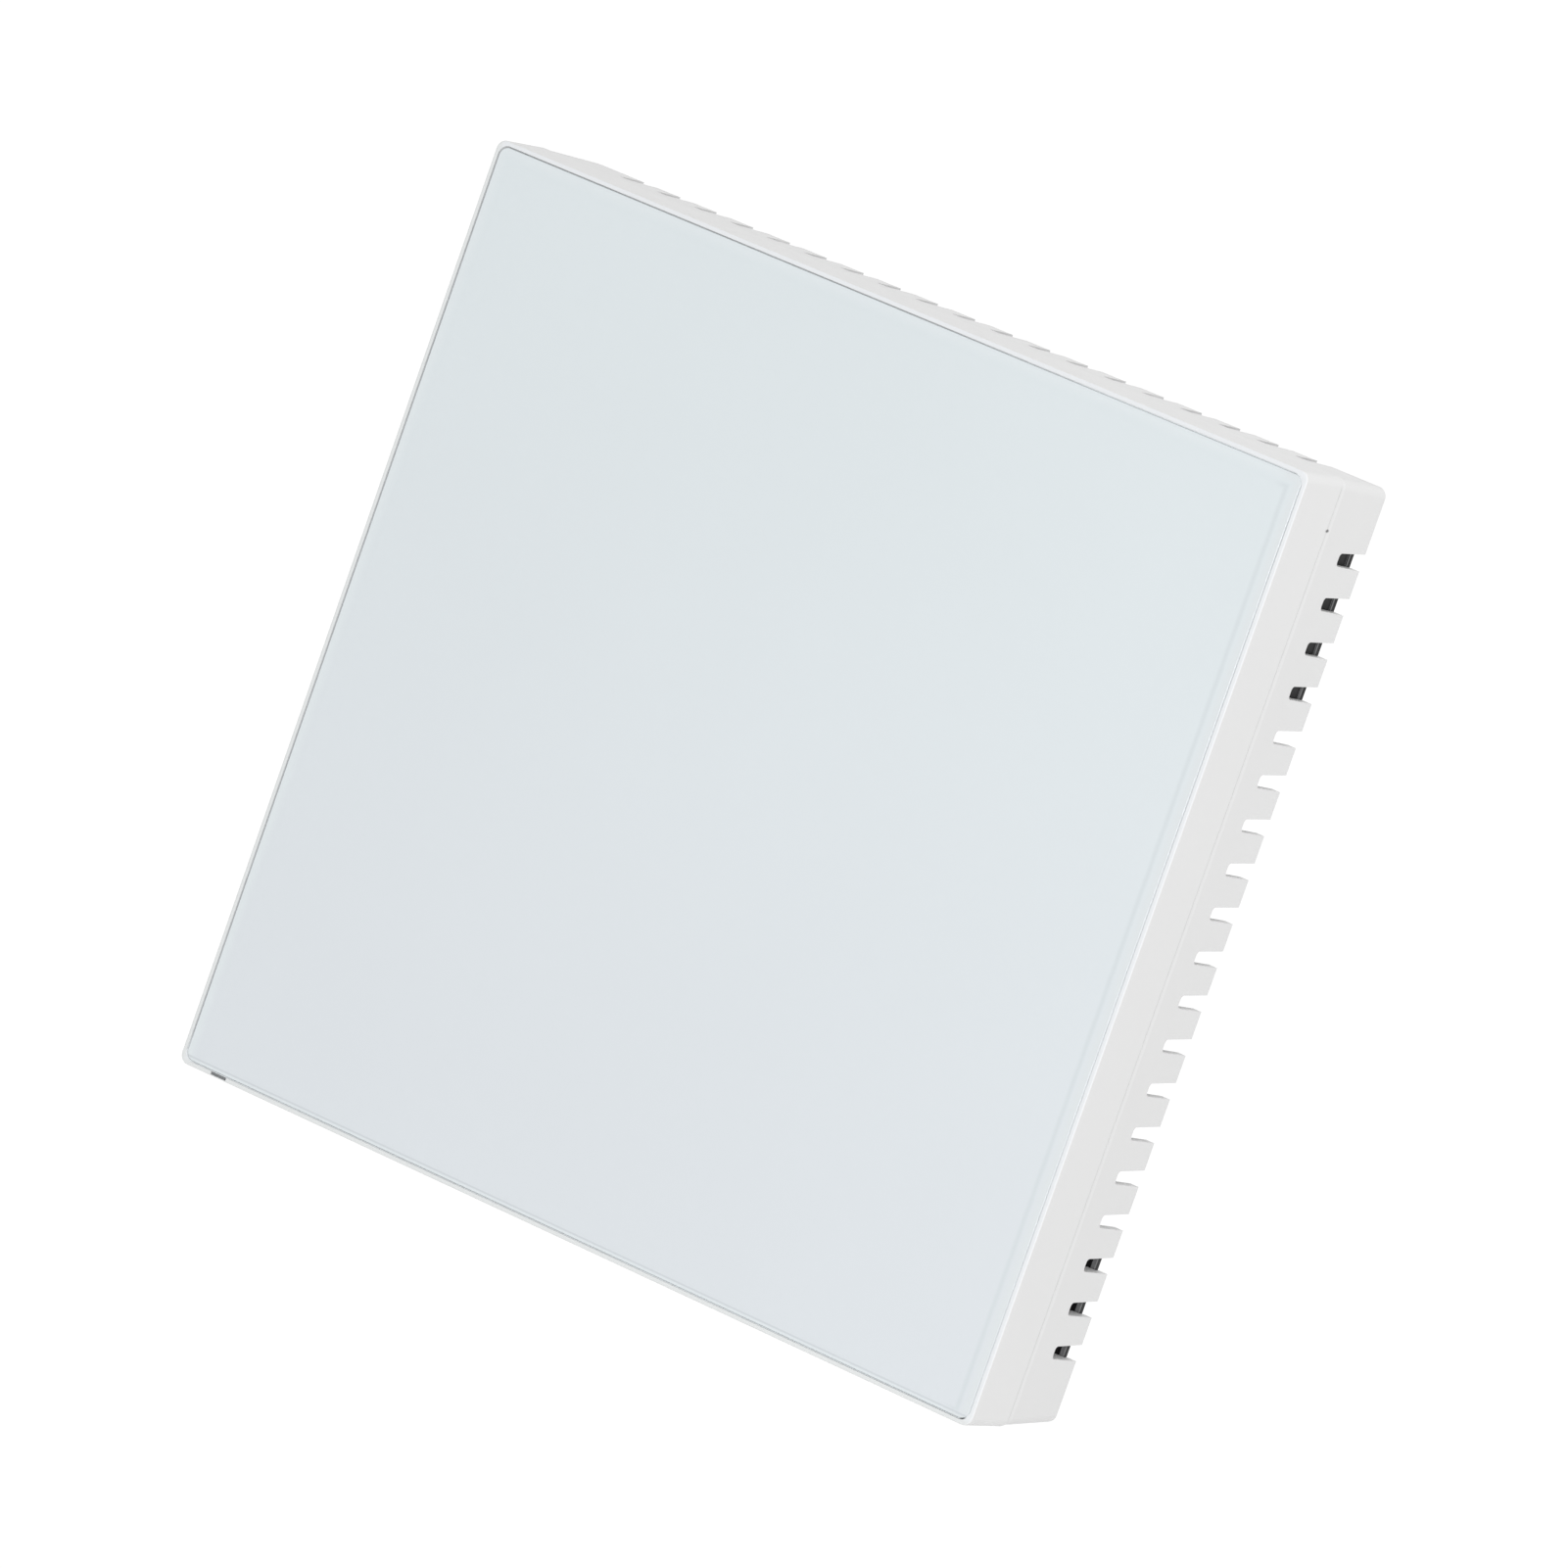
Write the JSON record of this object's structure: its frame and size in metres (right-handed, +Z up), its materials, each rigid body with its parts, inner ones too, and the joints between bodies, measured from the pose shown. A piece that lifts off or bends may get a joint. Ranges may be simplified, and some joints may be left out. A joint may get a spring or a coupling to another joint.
{
  "type": "wall thermostat",
  "caption": "Square wall thermostat: flush glass touch panel in a white two-part case with comb vents, hung on a black wall plate and tilting off it.",
  "frame": {"origin": "centre of the wall plate's back face, which lies on the wall", "axes": "+X to the right seen from the front, +Y into the wall, +Z up; the glass faces -Y"},
  "size_m": [0.086, 0.0151, 0.086],
  "materials": {
    "panel_glass": "gloss, pale blue-white paint on its back",
    "white_plastic": "fine satin",
    "black_plastic": "fine matt grain",
    "terminal_plastic": "satin",
    "black_foam": "matt",
    "diffuser": "matt, translucent",
    "led_face": "matt",
    "circuit_board": "green solder mask",
    "dark_resin": "matt",
    "ferrite": "matt",
    "copper_wire": "enamelled copper",
    "capacitor_sleeve": "gloss sleeve",
    "yellow_plastic": "gloss",
    "blue_coating": "gloss coating",
    "fuse_metal": "plated",
    "relay_plastic": "satin",
    "plated_steel": "zinc plated",
    "contact_brass": "bright"
  },
  "bodies": {
    "wall_plate": {"wall_plate": "black_plastic", "terminal_block_left": "terminal_plastic", "terminal_block_right": "terminal_plastic", "contact_pin_1": "contact_brass", "contact_pin_2": "contact_brass", "contact_pin_3": "contact_brass", "contact_pin_4": "contact_brass", "contact_pin_5": "contact_brass", "contact_pin_6": "contact_brass"},
    "release_catch": {"release_catch": "black_plastic"},
    "terminal_screw_1": {"terminal_screw_1": "plated_steel"},
    "terminal_cage_1": {"terminal_cage_1": "contact_brass"},
    "terminal_screw_2": {"terminal_screw_2": "plated_steel"},
    "terminal_cage_2": {"terminal_cage_2": "contact_brass"},
    "terminal_screw_3": {"terminal_screw_3": "plated_steel"},
    "terminal_cage_3": {"terminal_cage_3": "contact_brass"},
    "terminal_screw_4": {"terminal_screw_4": "plated_steel"},
    "terminal_cage_4": {"terminal_cage_4": "contact_brass"},
    "terminal_screw_5": {"terminal_screw_5": "plated_steel"},
    "terminal_cage_5": {"terminal_cage_5": "contact_brass"},
    "terminal_screw_6": {"terminal_screw_6": "plated_steel"},
    "terminal_cage_6": {"terminal_cage_6": "contact_brass"},
    "front_unit": {"board_header": "dark_resin", "board_screw_1": "plated_steel", "board_screw_2": "plated_steel", "bulk_capacitor_1": "capacitor_sleeve", "bulk_capacitor_2": "capacitor_sleeve", "case_screw_1": "plated_steel", "case_screw_2": "plated_steel", "case_screw_3": "plated_steel", "case_screw_4": "plated_steel", "control_chip": "dark_resin", "display_film": "diffuser", "display_leds": "led_face", "display_shade": "diffuser", "film_capacitor": "yellow_plastic", "front_shell": "white_plastic", "fuse": "fuse_metal", "glass_panel": "panel_glass", "main_board": "circuit_board", "panel_tape": "black_foam", "rear_shell": "white_plastic", "rectifier_bridge": "dark_resin", "relay_base": "relay_plastic", "relay_coil": "copper_wire", "relay_contact": "contact_brass", "relay_cover": "relay_plastic", "relay_yoke": "plated_steel", "socket_strip_left": "dark_resin", "socket_strip_right": "dark_resin", "temperature_sensor": "dark_resin", "touch_board": "circuit_board", "touch_spring_1": "contact_brass", "touch_spring_2": "contact_brass", "touch_spring_3": "contact_brass", "touch_spring_4": "contact_brass", "transformer_core": "ferrite", "transformer_winding": "copper_wire", "varistor": "blue_coating"},
    "relay_armature": {"relay_armature": "plated_steel"}
  },
  "joints": [
    {"name": "front_tilt", "type": "hinge", "parent": "wall_plate", "child": "front_unit", "pos_m": [0, 0, 0.0426], "axis": [-1, 0, 0], "range_deg": [0, 20]},
    {"name": "release_catch_flex", "type": "hinge", "parent": "wall_plate", "child": "release_catch", "pos_m": [0, -0.00164, -0.03965], "axis": [-1, 0, 0], "range_deg": [0, 8], "stiffness_Nm_per_rad": 0.01},
    {"name": "terminal_screw_turn_1", "type": "hinge", "parent": "wall_plate", "child": "terminal_screw_1", "pos_m": [-0.0287, -0.007, -0.0125], "axis": [0, -1, 0], "range_deg": [0, 960]},
    {"name": "terminal_cage_slide_1", "type": "slide", "parent": "wall_plate", "child": "terminal_cage_1", "axis": [0, 1, 0], "range_m": [0, 0.0012]},
    {"name": "terminal_screw_turn_2", "type": "hinge", "parent": "wall_plate", "child": "terminal_screw_2", "pos_m": [-0.0287, -0.007, -0.0205], "axis": [0, -1, 0], "range_deg": [0, 960]},
    {"name": "terminal_cage_slide_2", "type": "slide", "parent": "wall_plate", "child": "terminal_cage_2", "axis": [0, 1, 0], "range_m": [0, 0.0012]},
    {"name": "terminal_screw_turn_3", "type": "hinge", "parent": "wall_plate", "child": "terminal_screw_3", "pos_m": [-0.0287, -0.007, -0.0285], "axis": [0, -1, 0], "range_deg": [0, 960]},
    {"name": "terminal_cage_slide_3", "type": "slide", "parent": "wall_plate", "child": "terminal_cage_3", "axis": [0, 1, 0], "range_m": [0, 0.0012]},
    {"name": "terminal_screw_turn_4", "type": "hinge", "parent": "wall_plate", "child": "terminal_screw_4", "pos_m": [0.0287, -0.007, -0.0125], "axis": [0, -1, 0], "range_deg": [0, 960]},
    {"name": "terminal_cage_slide_4", "type": "slide", "parent": "wall_plate", "child": "terminal_cage_4", "axis": [0, 1, 0], "range_m": [0, 0.0012]},
    {"name": "terminal_screw_turn_5", "type": "hinge", "parent": "wall_plate", "child": "terminal_screw_5", "pos_m": [0.0287, -0.007, -0.0205], "axis": [0, -1, 0], "range_deg": [0, 960]},
    {"name": "terminal_cage_slide_5", "type": "slide", "parent": "wall_plate", "child": "terminal_cage_5", "axis": [0, 1, 0], "range_m": [0, 0.0012]},
    {"name": "terminal_screw_turn_6", "type": "hinge", "parent": "wall_plate", "child": "terminal_screw_6", "pos_m": [0.0287, -0.007, -0.0285], "axis": [0, -1, 0], "range_deg": [0, 960]},
    {"name": "terminal_cage_slide_6", "type": "slide", "parent": "wall_plate", "child": "terminal_cage_6", "axis": [0, 1, 0], "range_m": [0, 0.0012]},
    {"name": "relay_armature_swing", "type": "hinge", "parent": "front_unit", "child": "relay_armature", "pos_m": [0.0161, -0.00449, 0.0222], "axis": [0, -1, 0], "range_deg": [0, 4.8], "stiffness_Nm_per_rad": 0.001}
  ],
  "couplings": [
    {"joint": "terminal_screw_turn_1", "follows": "terminal_cage_slide_1", "rad_per_m": 13963},
    {"joint": "terminal_screw_turn_2", "follows": "terminal_cage_slide_2", "rad_per_m": 13963},
    {"joint": "terminal_screw_turn_3", "follows": "terminal_cage_slide_3", "rad_per_m": 13963},
    {"joint": "terminal_screw_turn_4", "follows": "terminal_cage_slide_4", "rad_per_m": 13963},
    {"joint": "terminal_screw_turn_5", "follows": "terminal_cage_slide_5", "rad_per_m": 13963},
    {"joint": "terminal_screw_turn_6", "follows": "terminal_cage_slide_6", "rad_per_m": 13963}
  ]
}
